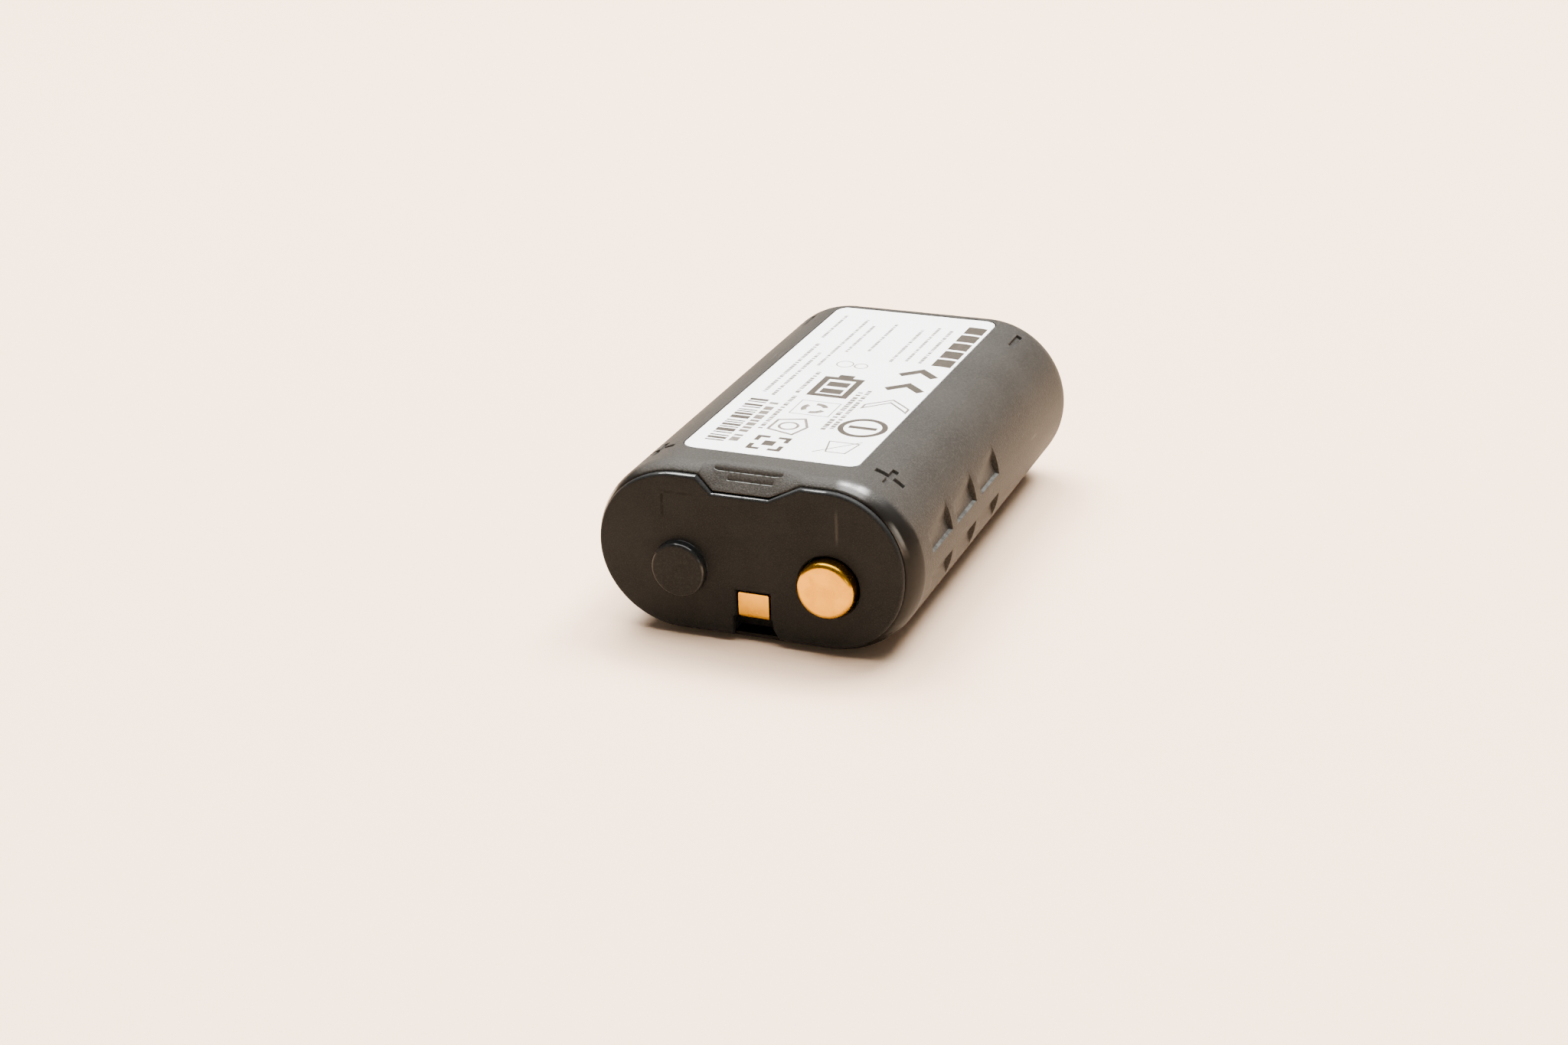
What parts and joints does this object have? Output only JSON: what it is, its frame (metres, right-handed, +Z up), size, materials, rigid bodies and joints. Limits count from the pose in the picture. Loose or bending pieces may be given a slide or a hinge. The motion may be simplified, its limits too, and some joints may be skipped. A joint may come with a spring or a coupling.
{
  "type": "rechargeable battery pack",
  "caption": "Flat round-ended rechargeable battery pack with side-by-side cells in a plastic can, a front cap with a gold stud, a blank stud and a data contact, and grip pockets on its flanks.",
  "frame": {"origin": "middle of the underside's box, on the surface the pack lies on", "axes": "+Z up through the label, -Y out of the contact end, +X towards the gold stud's side"},
  "size_m": [0.03, 0.0492, 0.016],
  "materials": {
    "case_plastic": "dark grey moulded plastic with a fine spark-eroded grain",
    "cap_plastic": "near-black satin moulded plastic",
    "gold_plate": "gold plating, polished and lightly handled",
    "nickel": "nickel strip, rolled finish",
    "can_steel": "nickel-plated drawn steel",
    "label_film": "off-white satin label film with grey print",
    "sleeve_film": "blue heat-shrunk film",
    "board_laminate": "green solder resist over glass laminate",
    "chip_resin": "black moulding resin",
    "ceramic": "tan ceramic with tinned ends",
    "fish_paper": "tan insulating card",
    "foil_roll": "dark coated foil winding",
    "seal_nylon": "natural nylon"
  },
  "bodies": {
    "root": {"case_shell": "case_plastic", "label": "label_film", "front_cap": "cap_plastic", "positive_stud": "gold_plate", "data_contact": "gold_plate", "negative_contact_right": "gold_plate", "negative_contact_left": "gold_plate", "circuit_board": "board_laminate", "fuel_gauge_chip": "chip_resin", "protection_chip": "chip_resin", "switch_transistor": "chip_resin", "thermal_fuse": "chip_resin", "sense_resistor": "ceramic", "capacitor_1": "ceramic", "capacitor_2": "ceramic", "capacitor_3": "ceramic", "front_insulator": "fish_paper", "rear_insulator": "fish_paper", "thermistor_flex": "fish_paper", "positive_strip": "nickel", "negative_strip": "nickel", "cell_can_right": "can_steel", "cell_header_right": "can_steel", "electrode_roll_right": "foil_roll", "cell_gasket_right": "seal_nylon", "shoulder_washer_right": "seal_nylon", "cell_sleeve_right": "sleeve_film", "cell_can_left": "can_steel", "cell_header_left": "can_steel", "electrode_roll_left": "foil_roll", "cell_gasket_left": "seal_nylon", "shoulder_washer_left": "seal_nylon", "cell_sleeve_left": "sleeve_film"}
  },
  "joints": []
}
